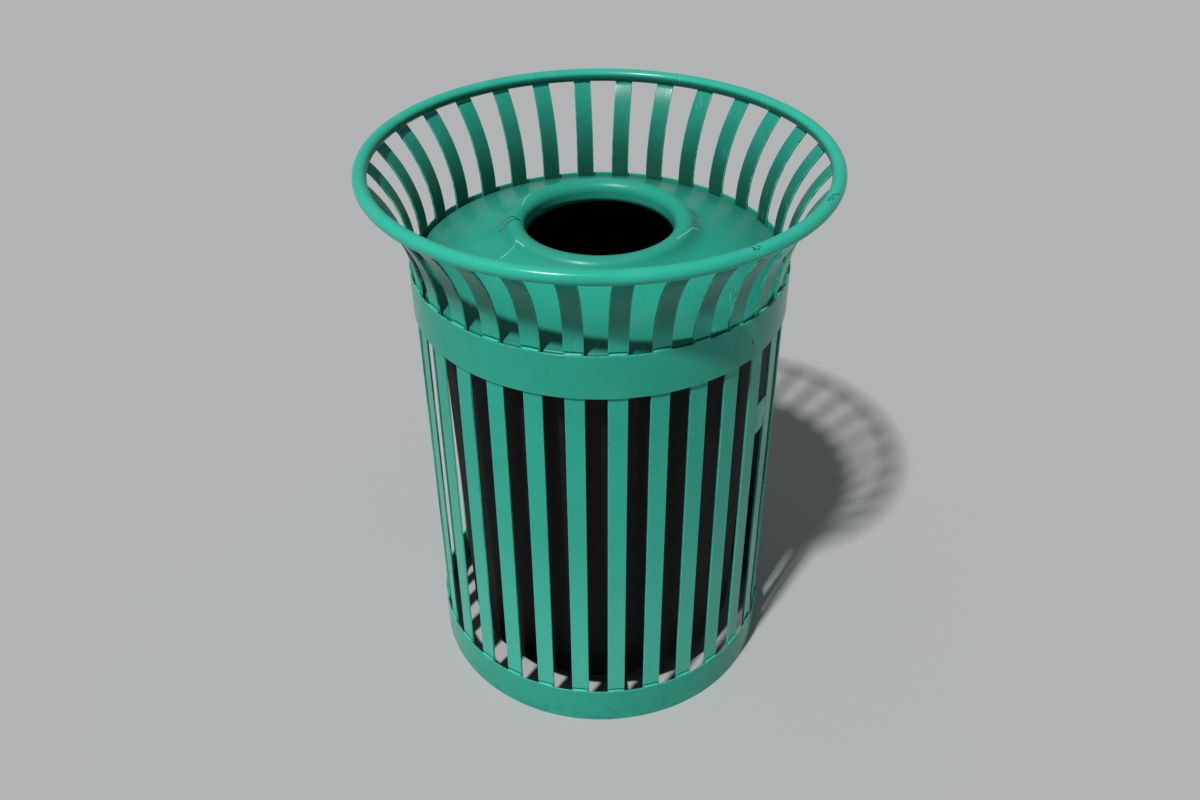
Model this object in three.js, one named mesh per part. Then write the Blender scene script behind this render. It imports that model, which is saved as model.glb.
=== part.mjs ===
// Slatted steel litter bin with a flared top, a spun lid with a rolled opening, and a lift-out liner.
// Millimetres, +Z up. The origin is on the ground, at the centre of the base band.

import * as THREE from 'three';

// ---------------------------------------------------------------- driving dimensions

const FIT_GAP = 0.3; // clearance kept between two pieces that touch

// Outer bands, rolled from strip
const BAND_RADIUS = 290; // outer face
const BAND_THICKNESS = 2.5;
const BAND_HEIGHT = 70;
const TOP_BAND_BOTTOM = 677;

// Slats, flat bar stood inside both bands and flared above the top one
const SLAT_COUNT = 30;
const SLAT_PITCH = (2 * Math.PI) / SLAT_COUNT;
const FRONT = -Math.PI / 2; // direction of the gap between the first and the last slat
const SLAT_WIDTH = 28;
const SLAT_THICKNESS = 3.5;
const SLAT_FACE = 286.6; // distance from the bin's axis to a slat's flat outer face
const SLAT_BOTTOM = 10; // the slats end a little above the ground, behind the base band
const FLARE_START = 742; // the bend begins just below the top band's upper edge
const FLARE_RADIUS = 216; // of a slat's middle line

// Rim, a round tube rolled into a ring over the slat ends
const RIM_RADIUS = 345; // centre line
const RIM_TUBE_RADIUS = 10.65;
const RIM_HEIGHT = 899.2; // centre line

// The slats bend outward in one arc about a centre outside the bin, and butt against the rim tube
// from below. The inner corner of a slat's end is the one that comes nearest to the tube.
const SLAT_MIDDLE = SLAT_FACE - SLAT_THICKNESS / 2;
const RIM_WELD_GAP = 0.5; // between a slat's end and the tube, filled by the weld
const BEND_CENTRE = SLAT_MIDDLE + FLARE_RADIUS;
const OUTER_BEND = FLARE_RADIUS - SLAT_THICKNESS / 2;
const INNER_BEND = FLARE_RADIUS + SLAT_THICKNESS / 2;
const FLARE_ANGLE = flareAngle();

// Lid, one spun sheet with a raised rolled neck
const LID_RADIUS = 280;
const LID_SHEET = 2.5;
const LID_SKIRT = 10; // straight part of the turned-down edge
const LID_SHOULDER = 4; // radius between the skirt and the cone
const LID_CONE_TOP = { radius: 166, height: 781.7 };
const ROLL_RADIUS = 16;
const ROLL_CENTRE = { radius: 128.5, height: 793 };
const ROLL_OUTER_ANGLE = THREE.MathUtils.degToRad(30); // where the roll leaves the cone's fillet
const NECK_BOTTOM = 777;

// Ring that the lid rests on, welded to the inside of the slats
const SUPPORT_RING = { inner: 268, bottom: 727, thickness: 4 };

// Three-armed flat support under the liner. Each arm ends on the inner face of a slat.
const SPIDER = { arms: 3, armWidth: 20, thickness: 5, bottom: 42, anchorHoleRadius: 7 };

// Liner, a plastic tub with a rolled lip
const LINER_FOOT_RADIUS = 237;
const LINER_TOP_RADIUS = 254;
const LINER_TOP = 715;
const LINER_WALL = 3;
const LINER_FOOT_BEVEL = 6;
const LINER_LIP = { width: 7, height: 7 };

// Small plate that bridges one gap between two slats. Gap 0 faces the front, -Y, and the count
// runs towards +X.
const TAG_PLATE = { bottom: 516, height: 56, gap: 5 };

// Facets
const RING_SIDES = 120; // a multiple of the slat count, so that every slat meets a band alike
const LID_SIDES = 60;
const TUBE_SIDES = 12; // a multiple of 4, so that the tube has its full height and reach
const BEND_STEPS = 10;
const SHOULDER_STEPS = 2;
const ROLL_STEPS = 7;
const HOLE_SEGMENTS = 16;
const FILLET_STEPS = 4;

// ---------------------------------------------------------------- materials

function greenPaint() {
  return new THREE.MeshStandardMaterial({ color: 0x2f9c80, roughness: 0.38, metalness: 0.0 });
}

function linerPlastic() {
  return new THREE.MeshStandardMaterial({ color: 0x1b1b1c, roughness: 0.6, metalness: 0.0 });
}

// ---------------------------------------------------------------- helpers

// Mesh of the solid that a closed outline of [radius, height] points sweeps round the Z axis.
function turnedMesh(name, outline, sides, material) {
  const points = outline.map(([radius, height]) => new THREE.Vector2(radius, height));
  const geometry = new THREE.LatheGeometry(points, sides);
  geometry.rotateX(Math.PI / 2);
  return namedMesh(name, geometry, material);
}

function namedMesh(name, geometry, material) {
  const mesh = new THREE.Mesh(geometry, material);
  mesh.name = name;
  return mesh;
}

// Outline of a ring with a rectangular section, as a closed loop.
function ringOutline(inner, outer, bottom, top) {
  return [
    [inner, bottom],
    [outer, bottom],
    [outer, top],
    [inner, top],
    [inner, bottom],
  ];
}

// Points [radius, height] of an arc about a centre, both ends included.
function arcPoints(centreRadius, centreHeight, radius, from, to, steps) {
  const points = [];
  for (let i = 0; i <= steps; i += 1) {
    const angle = from + ((to - from) * i) / steps;
    points.push([centreRadius + radius * Math.cos(angle), centreHeight + radius * Math.sin(angle)]);
  }
  return points;
}

// The same path moved sideways, to the left of its direction of travel.
function offsetPath(path, distance) {
  return path.map((point, i) => {
    const before = path[Math.max(i - 1, 0)];
    const after = path[Math.min(i + 1, path.length - 1)];
    const run = Math.hypot(after[0] - before[0], after[1] - before[1]);
    const leftRadius = -(after[1] - before[1]) / run;
    const leftHeight = (after[0] - before[0]) / run;
    return [point[0] + leftRadius * distance, point[1] + leftHeight * distance];
  });
}

// ---------------------------------------------------------------- frame pieces

function band(name, bottom) {
  const outline = ringOutline(BAND_RADIUS - BAND_THICKNESS, BAND_RADIUS, bottom, bottom + BAND_HEIGHT);
  return turnedMesh(name, outline, RING_SIDES, greenPaint());
}

function rimTube() {
  const geometry = new THREE.TorusGeometry(RIM_RADIUS, RIM_TUBE_RADIUS, TUBE_SIDES, RING_SIDES);
  const mesh = namedMesh('rim_tube', geometry, greenPaint());
  mesh.position.z = RIM_HEIGHT;
  return mesh;
}

// Angle through which the slats bend, so that the inner corner of the end stops short of the tube.
function flareAngle() {
  const across = BEND_CENTRE - RIM_RADIUS;
  const up = RIM_HEIGHT - FLARE_START;
  const distance = Math.hypot(across, up);
  const reach = RIM_TUBE_RADIUS + RIM_WELD_GAP;
  const cosine = (distance ** 2 + INNER_BEND ** 2 - reach ** 2) / (2 * distance * INNER_BEND);
  return Math.atan2(up, across) - Math.acos(cosine);
}

// Side view of a slat: straight up, then bent outward about a centre outside the bin.
function slatOutline() {
  const innerFace = SLAT_FACE - SLAT_THICKNESS;
  const start = Math.PI;
  const end = Math.PI - FLARE_ANGLE;
  const outerBend = arcPoints(BEND_CENTRE, FLARE_START, OUTER_BEND, start, end, BEND_STEPS);
  const innerBend = arcPoints(BEND_CENTRE, FLARE_START, INNER_BEND, end, start, BEND_STEPS);
  return [[innerFace, SLAT_BOTTOM], [SLAT_FACE, SLAT_BOTTOM], ...outerBend, ...innerBend];
}

function slat(index) {
  const shape = new THREE.Shape(slatOutline().map(([radius, height]) => new THREE.Vector2(radius, height)));
  const geometry = new THREE.ExtrudeGeometry(shape, { depth: SLAT_WIDTH, bevelEnabled: false });
  geometry.translate(0, 0, -SLAT_WIDTH / 2);
  geometry.rotateX(Math.PI / 2);
  const mesh = namedMesh(`slat_${String(index + 1).padStart(2, '0')}`, geometry, greenPaint());
  mesh.rotation.z = FRONT + (index + 0.5) * SLAT_PITCH;
  return mesh;
}

function lidSupportRing() {
  const outer = SLAT_FACE - SLAT_THICKNESS - FIT_GAP;
  const { inner, bottom, thickness } = SUPPORT_RING;
  return turnedMesh(
    'lid_support_ring',
    ringOutline(inner, outer, bottom, bottom + thickness),
    RING_SIDES,
    greenPaint(),
  );
}

// Outline of the support seen from above: each arm has a square end, and two arms meet in a corner
// half-way between them.
function spiderOutline() {
  const reach = SLAT_FACE - SLAT_THICKNESS - FIT_GAP;
  const halfWidth = SPIDER.armWidth / 2;
  const firstSlat = FRONT + SLAT_PITCH / 2;
  const halfTurn = Math.PI / SPIDER.arms;
  const points = [];
  for (let arm = 0; arm < SPIDER.arms; arm += 1) {
    const direction = firstSlat + 2 * halfTurn * arm;
    const place = (along, across) => new THREE.Vector2(
      along * Math.cos(direction) - across * Math.sin(direction),
      along * Math.sin(direction) + across * Math.cos(direction),
    );
    points.push(place(reach, -halfWidth), place(reach, halfWidth));
    points.push(place(halfWidth / Math.tan(halfTurn), halfWidth));
  }
  return points;
}

function baseSpider() {
  const shape = new THREE.Shape(spiderOutline());
  const hole = new THREE.Path();
  hole.absarc(0, 0, SPIDER.anchorHoleRadius, 0, 2 * Math.PI, true);
  shape.holes.push(hole);
  const settings = { depth: SPIDER.thickness, bevelEnabled: false, curveSegments: HOLE_SEGMENTS };
  const mesh = namedMesh('base_spider', new THREE.ExtrudeGeometry(shape, settings), greenPaint());
  mesh.position.z = SPIDER.bottom;
  return mesh;
}

// The plate fills the gap between two slats, flush with the corners of their outer faces.
function tagPlate() {
  const halfPitch = SLAT_PITCH / 2;
  const halfSlat = SLAT_WIDTH / 2;
  const outerFace = SLAT_FACE * Math.cos(halfPitch) + halfSlat * Math.sin(halfPitch);
  const innerCorner = (SLAT_FACE - SLAT_THICKNESS) * Math.sin(halfPitch) - halfSlat * Math.cos(halfPitch);
  const width = 2 * (innerCorner - FIT_GAP);
  const geometry = new THREE.BoxGeometry(SLAT_THICKNESS, width, TAG_PLATE.height);
  geometry.translate(outerFace - SLAT_THICKNESS / 2, 0, TAG_PLATE.bottom + TAG_PLATE.height / 2);
  const mesh = namedMesh('tag_plate', geometry, greenPaint());
  mesh.rotation.z = FRONT + TAG_PLATE.gap * SLAT_PITCH;
  return mesh;
}

// ---------------------------------------------------------------- lid

// Fillet between the cone and the roll. It leaves each along its tangent.
function lidFillet(coneAngle, rollStart) {
  const [rollRadius, rollHeight] = rollStart;
  const { radius, height } = LID_CONE_TOP;
  const coneFall = Math.tan(coneAngle);
  const rollFall = 1 / Math.tan(ROLL_OUTER_ANGLE);
  const drop = rollHeight - height + rollFall * rollRadius - coneFall * radius;
  const crossing = drop / (rollFall - coneFall);
  const curve = new THREE.QuadraticBezierCurve(
    new THREE.Vector2(radius, height),
    new THREE.Vector2(crossing, height + coneFall * (radius - crossing)),
    new THREE.Vector2(rollRadius, rollHeight),
  );
  return curve.getPoints(FILLET_STEPS).slice(0, -1).map((point) => [point.x, point.y]);
}

// Upper face of the lid's sheet, from the foot of the skirt to the foot of the neck.
function lidUpperFace() {
  const skirtBottom = SUPPORT_RING.bottom + SUPPORT_RING.thickness + FIT_GAP;
  const shoulderRadius = LID_RADIUS - LID_SHOULDER;
  const shoulderHeight = skirtBottom + LID_SKIRT;
  const rise = LID_CONE_TOP.height - shoulderHeight - LID_SHOULDER;
  const coneAngle = Math.atan2(rise, shoulderRadius - LID_CONE_TOP.radius);
  const turn = Math.PI / 2 - coneAngle;
  const shoulder = arcPoints(shoulderRadius, shoulderHeight, LID_SHOULDER, 0, turn, SHOULDER_STEPS);
  const { radius, height } = ROLL_CENTRE;
  const roll = arcPoints(radius, height, ROLL_RADIUS, ROLL_OUTER_ANGLE, Math.PI, ROLL_STEPS);
  const fillet = lidFillet(coneAngle, roll[0]);
  return [[LID_RADIUS, skirtBottom], ...shoulder, ...fillet, ...roll, [radius - ROLL_RADIUS, NECK_BOTTOM]];
}

function lid() {
  const upper = lidUpperFace();
  const lower = offsetPath(upper, LID_SHEET).reverse();
  return turnedMesh('lid', [...upper, ...lower, upper[0]], LID_SIDES, greenPaint());
}

// ---------------------------------------------------------------- liner

function liner() {
  const bottom = SPIDER.bottom + SPIDER.thickness + FIT_GAP;
  const floor = bottom + LINER_WALL;
  const lipRadius = LINER_TOP_RADIUS + LINER_LIP.width;
  const lipBottom = LINER_TOP - LINER_LIP.height;
  const outline = [
    [0, bottom],
    [LINER_FOOT_RADIUS - LINER_FOOT_BEVEL, bottom],
    [LINER_FOOT_RADIUS, bottom + LINER_FOOT_BEVEL],
    [LINER_TOP_RADIUS, lipBottom],
    [lipRadius, lipBottom],
    [lipRadius, LINER_TOP],
    [LINER_TOP_RADIUS - LINER_WALL, LINER_TOP],
    [LINER_FOOT_RADIUS - LINER_WALL, floor + LINER_FOOT_BEVEL],
    [LINER_FOOT_RADIUS - LINER_WALL - LINER_FOOT_BEVEL, floor],
    [0, floor],
  ];
  return turnedMesh('liner', outline, LID_SIDES, linerPlastic());
}

// ---------------------------------------------------------------- assembly

const bin = new THREE.Group();
const frame = new THREE.Group();
frame.add(band('base_band', 0), band('top_band', TOP_BAND_BOTTOM), rimTube());
for (let index = 0; index < SLAT_COUNT; index += 1) {
  frame.add(slat(index));
}
frame.add(lidSupportRing(), baseSpider(), tagPlate());
bin.add(frame, lid(), liner());

export default bin;
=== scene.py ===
import math

import bmesh
import bpy
import numpy as np
from mathutils import Matrix, Vector, noise


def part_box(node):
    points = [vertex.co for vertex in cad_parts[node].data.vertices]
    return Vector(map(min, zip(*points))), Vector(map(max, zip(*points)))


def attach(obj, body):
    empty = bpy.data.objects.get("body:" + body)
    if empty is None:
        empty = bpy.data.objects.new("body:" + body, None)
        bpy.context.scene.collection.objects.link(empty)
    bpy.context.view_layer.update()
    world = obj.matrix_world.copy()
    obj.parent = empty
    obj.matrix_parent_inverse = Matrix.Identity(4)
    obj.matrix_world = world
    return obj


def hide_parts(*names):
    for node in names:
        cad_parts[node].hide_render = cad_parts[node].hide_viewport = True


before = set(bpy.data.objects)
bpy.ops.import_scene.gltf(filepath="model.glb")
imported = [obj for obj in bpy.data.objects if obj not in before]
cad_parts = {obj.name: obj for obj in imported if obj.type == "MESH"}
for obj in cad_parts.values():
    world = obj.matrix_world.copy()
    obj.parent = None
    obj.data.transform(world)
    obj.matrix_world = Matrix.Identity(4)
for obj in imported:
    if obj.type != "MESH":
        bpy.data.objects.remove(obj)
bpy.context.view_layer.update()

# Slatted steel litter bin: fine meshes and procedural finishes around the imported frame.
# Metres, +Z up. The origin is on the ground, at the centre of the base band.

MM = 0.001

# ---------------------------------------------------------------- camera

CAMERA_REACH = 1542.5 * MM  # horizontal distance from the bin's axis
CAMERA_HEIGHT = 1585.6 * MM
CAMERA_SIDE = math.radians(1.15)  # turn of the camera's place round the axis
CAMERA_HEADING = math.radians(1.18)
CAMERA_PITCH = math.radians(-35.97)
CAMERA_ROLL = math.radians(0.278)
LENS = 34.05
SENSOR = 36.0


def make_camera():
    data = bpy.data.cameras.new("camera")
    data.lens = LENS
    data.sensor_width = SENSOR
    camera = bpy.data.objects.new("camera", data)
    bpy.context.scene.collection.objects.link(camera)
    place = Matrix.Rotation(CAMERA_SIDE, 4, "Z") @ Vector((0, -CAMERA_REACH, CAMERA_HEIGHT))
    upright = Matrix.Rotation(math.pi / 2, 4, "X")
    aim = (
        Matrix.Rotation(CAMERA_HEADING, 4, "Z")
        @ Matrix.Rotation(CAMERA_PITCH, 4, "X")
        @ Matrix.Rotation(CAMERA_ROLL, 4, "Y")
        @ upright
    )
    camera.matrix_world = Matrix.Translation(place) @ aim
    bpy.context.scene.camera = camera


make_camera()

# ---------------------------------------------------------------- sizes read from the frame

RIM_LOW, RIM_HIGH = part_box("rim_tube")
RIM_TUBE = (RIM_HIGH.z - RIM_LOW.z) / 2
RIM_RADIUS = RIM_HIGH.x - RIM_TUBE
RIM_HEIGHT = (RIM_HIGH.z + RIM_LOW.z) / 2

BASE_LOW, BASE_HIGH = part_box("base_band")
TOP_LOW, TOP_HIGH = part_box("top_band")
BAND_RADIUS = BASE_HIGH.x
BAND_THICKNESS = 2.5 * MM

FRONT = -math.pi / 2  # the gap between the first and the last slat faces this way
SLATS = sorted(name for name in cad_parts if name.startswith("slat_"))
SLAT_PITCH = 2 * math.pi / len(SLATS)
SIDE_SLAT_LOW, SIDE_SLAT_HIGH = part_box("slat_08")  # this slat lies along +X
SLAT_INNER = SIDE_SLAT_LOW.x
SLAT_THICKNESS = 3.5 * MM
SLAT_OUTER = SLAT_INNER + SLAT_THICKNESS
SLAT_WIDTH = SIDE_SLAT_HIGH.y - SIDE_SLAT_LOW.y
SLAT_BOTTOM = SIDE_SLAT_LOW.z
SLAT_MIDDLE = SLAT_INNER + SLAT_THICKNESS / 2
FIT_GAP = 0.3 * MM

# The slats bend outward in one arc, and butt against the tube from below.
FLARE_START = 742 * MM
FLARE_RADIUS = 216 * MM  # of a slat's middle line
BEND_CENTRE = SLAT_MIDDLE + FLARE_RADIUS
WELD_BITE = 0.6 * MM  # the slat's inner corner is drawn into the tube's wall by the weld


def flare_angle():
    """Angle through which the slats bend, so that the inner corner of the end meets the tube."""
    across = BEND_CENTRE - RIM_RADIUS
    up = RIM_HEIGHT - FLARE_START
    distance = math.hypot(across, up)
    corner = FLARE_RADIUS + SLAT_THICKNESS / 2
    reach = RIM_TUBE - WELD_BITE
    cosine = (distance**2 + corner**2 - reach**2) / (2 * distance * corner)
    return math.atan2(up, across) - math.acos(cosine)


FLARE_ANGLE = flare_angle()

SUPPORT_LOW, SUPPORT_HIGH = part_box("lid_support_ring")
SUPPORT_INNER = 268 * MM
SPIDER_LOW, SPIDER_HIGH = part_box("base_spider")
LID_LOW, LID_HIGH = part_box("lid")
LINER_LOW, LINER_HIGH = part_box("liner")
PLATE_LOW, PLATE_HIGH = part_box("tag_plate")

# Lid sheet
LID_SHEET = 2.5 * MM
LID_SKIRT = 10 * MM
LID_SHOULDER = 4 * MM
CONE_TOP = (166 * MM, 781.7 * MM)
ROLL_RADIUS = 16 * MM
ROLL_CENTRE = (128.5 * MM, 793 * MM)
ROLL_OUTER_ANGLE = math.radians(30)
NECK_BOTTOM = 777 * MM

# Liner
LINER_FOOT = 237 * MM
LINER_TOP = 254 * MM
LINER_WALL = 3 * MM
LINER_LIP = 7 * MM
LINER_BEVEL = 6 * MM

# Fine geometry
EDGE_ROUND = 0.7 * MM  # rounding of cut steel edges under the paint
RING_STEPS = 240
GUARD = 0.8 * MM  # how far a guard point lies from a corner's rounding
GUARD_SHARE = 0.3  # the most of a side that a guard point may take

# ---------------------------------------------------------------- mesh helpers


def new_piece(name, points, faces, body, slot, *nodes):
    """Mesh object with outward faces that rides on a body and stands for the given CAD nodes."""
    data = bpy.data.meshes.new(name)
    data.from_pydata([tuple(point) for point in points], [], faces)
    tidy = bmesh.new()
    tidy.from_mesh(data)
    bmesh.ops.recalc_face_normals(tidy, faces=tidy.faces)
    tidy.to_mesh(data)
    tidy.free()
    data.polygons.foreach_set("use_smooth", [True] * len(data.polygons))
    mark_edges(data)
    piece = bpy.data.objects.new(name, data)
    bpy.context.scene.collection.objects.link(piece)
    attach(piece, body)
    if nodes:
        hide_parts(*nodes)
    return piece


SHARP_CURVE = 900.0  # curvature, per metre, that counts as a full edge
SOFT_CURVE = 180.0


def mark_edges(data):
    """Stores how strongly each vertex bends outward in the attribute that drives edge wear and the
    painted highlight on edges.
    """
    count = len(data.vertices)
    place = np.zeros(count * 3)
    data.vertices.foreach_get("co", place)
    place = place.reshape(-1, 3)
    normal = np.array([tuple(entry.vector) for entry in data.vertex_normals])
    ends = np.zeros(len(data.edges) * 2, np.int64)
    data.edges.foreach_get("vertices", ends)
    first, second = ends.reshape(-1, 2).T
    along = place[first] - place[second]
    bend = ((normal[first] - normal[second]) * along).sum(1) / np.maximum((along**2).sum(1), 1e-12)
    strongest = np.zeros(count)
    np.maximum.at(strongest, first, bend)
    np.maximum.at(strongest, second, bend)
    wear = np.clip((strongest - SOFT_CURVE) / (SHARP_CURVE - SOFT_CURVE), 0, 1)
    data.attributes.new("edge_wear_and_sheen", "FLOAT", "POINT").data.foreach_set("value", wear)


def swept_grid(rows, columns, closed_rows, closed_columns):
    """Quads that join a grid of vertices, numbered row by row."""
    faces = []
    for row in range(rows if closed_rows else rows - 1):
        after = (row + 1) % rows
        for column in range(columns if closed_columns else columns - 1):
            beside = (column + 1) % columns
            faces.append(
                (
                    row * columns + column,
                    row * columns + beside,
                    after * columns + beside,
                    after * columns + column,
                )
            )
    return faces


def turned(outline, steps=RING_STEPS, shape=None):
    """Points and faces of a closed outline of (radius, height) turned round the axis.

    shape(radius, height, angle) may return changed values, for dents and waviness."""
    points = []
    for step in range(steps):
        angle = 2 * math.pi * step / steps
        for radius, height in outline:
            if shape:
                radius, height = shape(radius, height, angle)
            points.append((radius * math.cos(angle), radius * math.sin(angle), height))
    return points, swept_grid(steps, len(outline), True, True)


def arc(centre, radius, start, end, steps):
    """Points of an arc, both ends included."""
    points = []
    for step in range(steps + 1):
        angle = start + (end - start) * step / steps
        points.append((centre[0] + radius * math.cos(angle), centre[1] + radius * math.sin(angle)))
    return points


def rounded_box(low, high, rounding, steps=3, splits=(1, 1)):
    """Outline of a rectangle with round corners, and a guard point at each end of every side.

    splits is the number of parts of the sides along x, and of the sides along y."""
    corners = [
        (high[0] - rounding, low[1] + rounding, -math.pi / 2),
        (high[0] - rounding, high[1] - rounding, 0.0),
        (low[0] + rounding, high[1] - rounding, math.pi / 2),
        (low[0] + rounding, low[1] + rounding, math.pi),
    ]
    outline = []
    for index, (x, y, start) in enumerate(corners):
        outline += arc((x, y), rounding, start, start + math.pi / 2, steps)
        next_x, next_y, next_start = corners[(index + 1) % 4]
        end = (
            next_x + rounding * math.cos(next_start),
            next_y + rounding * math.sin(next_start),
        )
        begin = outline[-1]
        parts = splits[(index + 1) % 2]
        length = math.hypot(end[0] - begin[0], end[1] - begin[1])
        guard = min(GUARD / length, GUARD_SHARE)
        shares = [guard, *[part / parts for part in range(1, parts)], 1 - guard]
        for share in shares:
            outline.append(
                (
                    begin[0] + (end[0] - begin[0]) * share,
                    begin[1] + (end[1] - begin[1]) * share,
                )
            )
    return outline


def wobble(angle, seed, scale=1.0, height=0.0):
    """Smooth noise from -1 to 1 that closes on itself round the axis."""
    return noise.noise(Vector((math.cos(angle) * scale, math.sin(angle) * scale, height + seed)))


# ---------------------------------------------------------------- material helpers


WAVER_SCALE = 60.0  # waves per metre of a wavering stroke
STROKE_CORE = 0.45  # the share of a stroke's width that is fully marked


class Finish:
    """A procedural material, built up by plain calls. Textures are laid out in the bin's frame."""

    def __init__(self, name):
        self.material = bpy.data.materials.new(name)
        self.material.use_nodes = True
        self.tree = self.material.node_tree
        self.shader = self.tree.nodes["Principled BSDF"]
        self.place = self.tree.nodes.new("ShaderNodeTexCoord").outputs["Object"]

    def node(self, kind, settings=(), **inputs):
        made = self.tree.nodes.new("ShaderNode" + kind)
        for key, value in dict(settings).items():
            setattr(made, key, value)
        for key, value in inputs.items():
            self.feed(made.inputs[key.replace("_", " ")], value)
        return made

    def feed(self, socket, value):
        if isinstance(value, bpy.types.NodeSocket):
            self.tree.links.new(value, socket)
        else:
            socket.default_value = value

    def math(self, operation, first, second=0.0, clamp=False):
        made = self.tree.nodes.new("ShaderNodeMath")
        made.operation = operation
        made.use_clamp = clamp
        self.feed(made.inputs[0], first)
        self.feed(made.inputs[1], second)
        return made.outputs[0]

    def times(self, *factors):
        """All factors multiplied together."""
        product = factors[0]
        for factor in factors[1:]:
            product = self.math("MULTIPLY", product, factor)
        return product

    def without(self, value):
        """What is left of 1 when the value is taken away."""
        return self.math("SUBTRACT", 1.0, value)

    def vector(self, operation, first, second=(0, 0, 0), output=0):
        made = self.tree.nodes.new("ShaderNodeVectorMath")
        made.operation = operation
        self.feed(made.inputs[0], first)
        self.feed(made.inputs[1], second)
        return made.outputs[output]

    def stretched(self, scale, turn=(0, 0, 0)):
        made = self.node("Mapping", Vector=self.place, Rotation=turn, Scale=scale)
        return made.outputs[0]

    def noise(self, scale, detail=3.0, rough=0.55, stretch=None, turn=(0, 0, 0)):
        place = self.stretched(stretch, turn) if stretch else self.place
        made = self.node("TexNoise", Vector=place, Scale=scale, Detail=detail, Roughness=rough)
        return made.outputs["Fac"]

    def between(self, value, low, high):
        """0 below low, 1 above high, and smooth between."""
        made = self.node("MapRange", {"interpolation_type": "SMOOTHSTEP"})
        self.feed(made.inputs["Value"], value)
        made.inputs["From Min"].default_value = low
        made.inputs["From Max"].default_value = high
        return made.outputs["Result"]

    def mix(self, share, first, second):
        made = self.tree.nodes.new("ShaderNodeMix")
        made.data_type = "RGBA"
        self.feed(made.inputs[0], share)
        self.feed(made.inputs[6], first)
        self.feed(made.inputs[7], second)
        return made.outputs[2]

    def edge(self):
        return self.node("Attribute", {"attribute_name": "edge_wear_and_sheen"}).outputs["Fac"]

    def facing_up(self):
        normal = self.node("NewGeometry").outputs["Normal"]
        return self.node("SeparateXYZ", Vector=normal).outputs["Z"]

    def height(self):
        return self.node("SeparateXYZ", Vector=self.place).outputs["Z"]

    def stroke(self, start, end, width, waver, flat):
        """1 on a thin wavering line between two points of the frame, 0 away from it.

        flat leaves heights out, so that the line falls straight down on what lies below."""
        shift = self.node("TexNoise", Vector=self.place, Scale=WAVER_SCALE, Detail=2.0)
        centred = self.vector("SUBTRACT", shift.outputs["Color"], (0.5, 0.5, 0.5))
        swing = self.vector("MULTIPLY", centred, (waver, waver, waver))
        place = self.vector("ADD", self.place, swing)
        if flat:
            place = self.vector("MULTIPLY", place, (1, 1, 0))
        begin = Vector(start)
        run = Vector(end) - begin
        offset = self.vector("SUBTRACT", place, tuple(begin))
        travel = self.vector("DOT_PRODUCT", offset, tuple(run / run.length_squared), output=1)
        held = self.math("ADD", travel, 0.0, clamp=True)
        foot = self.tree.nodes.new("ShaderNodeVectorMath")
        foot.operation = "SCALE"
        foot.inputs[0].default_value = tuple(run)
        self.feed(foot.inputs["Scale"], held)
        gap = self.vector("DISTANCE", offset, foot.outputs[0], output=1)
        return self.without(self.between(gap, width * STROKE_CORE, width))

    def bump(self, height, strength, distance, under=None):
        made = self.node("Bump", Height=height, Strength=strength, Distance=distance)
        if under is not None:
            self.feed(made.inputs["Normal"], under)
        return made.outputs[0]


def colour(red, green, blue):
    """Linear colour of an sRGB value from 0 to 255."""

    def linear(value):
        share = value / 255
        return share / 12.92 if share <= 0.04045 else ((share + 0.055) / 1.055) ** 2.4

    return (linear(red), linear(green), linear(blue), 1.0)


# ---------------------------------------------------------------- finishes

PAINT = colour(40, 160, 136)
PAINT_FADED = colour(66, 170, 147)
PAINT_DEEP = colour(30, 142, 119)
# Paler paint: worn edges with a painted highlight on them, and painted bounce light from the floor low on
# the slats
PAINT_WORN_AND_LIT = colour(82, 190, 165)
# Deep green of painted shade: on the slats' inner faces, under the flare, under the rim and towards the
# lid's edge
PAINTED_SHADE_GREEN = colour(20, 66, 54)
# Grime for dirt and marks, and for the painted shade line in the crease above the welds
GRIME_AND_CREASE_SHADE = colour(18, 44, 38)
DUST = colour(96, 140, 124)
SCRATCH = colour(116, 198, 176)
BARE = colour(60, 58, 54)

# Below, SCALE is the waves per metre of a noise, and STRETCH the same along x, y and z. SPAN is
# the two values between which an effect sets in, SHARE its strength at the most, and BUMP the
# strength and depth of a relief.

# Slats
SIDE_SPAN = (0.2, 0.7)
# Painted bounce light from the floor, low on the slats' outer faces
FLOOR_BOUNCE_SPAN = (0.08, 0.6)
FLOOR_BOUNCE_SHARE = 0.5
BLOTCH_SCALE = 22.0
BLOTCH_DEPTH = 0.05
LID_LEVEL = LID_HIGH.z - 50 * MM  # the painted shade on the slats' inner faces is deepest from here down
# painted shade on the slats' inner faces thins to its least from LID_LEVEL up to here
SHADE_FADE_LEVEL = RIM_LOW.z + 20 * MM
INNER_SHADE_SPREAD = 0.62
INNER_SHADE_LEAST = 0.28
# Painted shade on the slats' outer faces under the flare
FLARE_SHADE_SPAN = (FLARE_START + 15 * MM, FLARE_START + 70 * MM)
FLARE_SHADE_SHARE = 0.5
CREASE_SHADE_RISE = 4.0 * MM  # painted shade line in the crease above the welds that stand on the bands
CREASE_SHADE_SPAN = (0.5 * MM, 1.6 * MM)
CREASE_SHADE_SHARE = 0.9

# Rim and lid
# Painted shade where the rim's tube looks inward and downward
RIM_INWARD_SPAN = (0.1, 0.6)
RIM_UPWARD_SPAN = (0.05, 0.65)
RIM_SHADE_SHARE = 0.8
# Painted shade on the lid towards its edge, under the rim and the flare
LID_EDGE_SHADE_SPAN = (0.18, 0.27)
LID_EDGE_SHADE_SHARE = 0.38

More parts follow.
